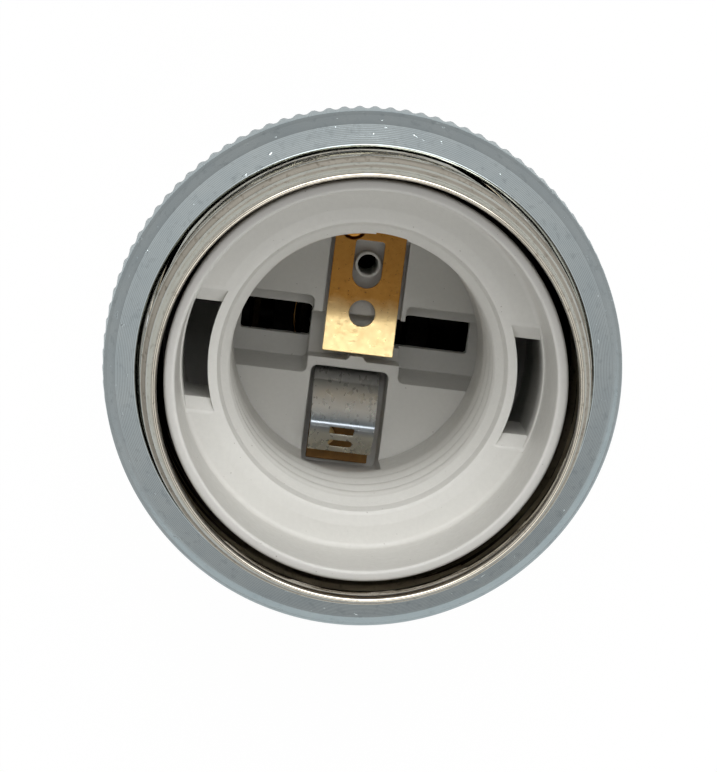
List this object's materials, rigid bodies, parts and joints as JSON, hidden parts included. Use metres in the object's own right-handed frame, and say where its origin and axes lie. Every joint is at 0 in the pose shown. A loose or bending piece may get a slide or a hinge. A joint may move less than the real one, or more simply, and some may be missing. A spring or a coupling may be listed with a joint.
{
  "type": "pendant lamp socket",
  "caption": "Half-threaded metal lamp socket with a knurled shade ring, a moulded threaded insert with sprung contacts, and a bushed cap for a pendant cord.",
  "frame": {"origin": "centre of the entry bush's flat end, on the axis of the socket", "axes": "+Z along the socket's axis out of its mouth, +Y towards the fixed end of the centre contact, +X towards the grub screw"},
  "size_m": [0.0478, 0.0478, 0.066],
  "materials": {
    "nickel_plate": "nickel-plated sheet steel, bright with fine drawing marks",
    "zinc_plate": "blue-bright plated, turned with fine lathe grooves",
    "grey_moulding": "light grey heat-resistant moulding, satin",
    "brass": "bare rolled brass",
    "spring_plate": "plated spring strip, bright",
    "bronze_strip": "dark bronze strip",
    "screw_steel": "zinc-plated steel"
  },
  "bodies": {
    "socket": {"outer_shell": "nickel_plate", "cap": "nickel_plate", "thread_insert": "grey_moulding", "contact_carrier": "grey_moulding", "side_contact_strip": "bronze_strip", "centre_rivet": "brass", "side_rivet": "brass", "centre_terminal": "brass", "side_terminal": "brass", "centre_terminal_screw": "screw_steel", "side_terminal_screw": "screw_steel", "carrier_screw_upper": "screw_steel", "carrier_screw_lower": "screw_steel", "entry_bush": "brass", "bush_nut": "screw_steel", "bush_grub_screw": "screw_steel", "earth_tag": "brass", "earth_screw": "screw_steel"},
    "ring": {"shade_ring": "zinc_plate"},
    "centre_spring": {"centre_contact": "brass"},
    "side_spring": {"side_contact": "spring_plate"}
  },
  "joints": [
    {"name": "shade_ring_travel", "type": "slide", "parent": "socket", "child": "ring", "axis": [0, 0, 1], "range_m": [-0.005, 0.006]},
    {"name": "centre_contact_spring", "type": "hinge", "parent": "socket", "child": "centre_spring", "pos_m": [0.00028, 0.0115, 0.02975], "axis": [1, 0, 0], "range_deg": [0, 3.5], "stiffness_Nm_per_rad": 0.6},
    {"name": "side_contact_spring", "type": "hinge", "parent": "socket", "child": "side_spring", "pos_m": [-0.00038, -0.00398, 0.02795], "axis": [1, 0, 0], "range_deg": [0, 5], "stiffness_Nm_per_rad": 0.3}
  ]
}
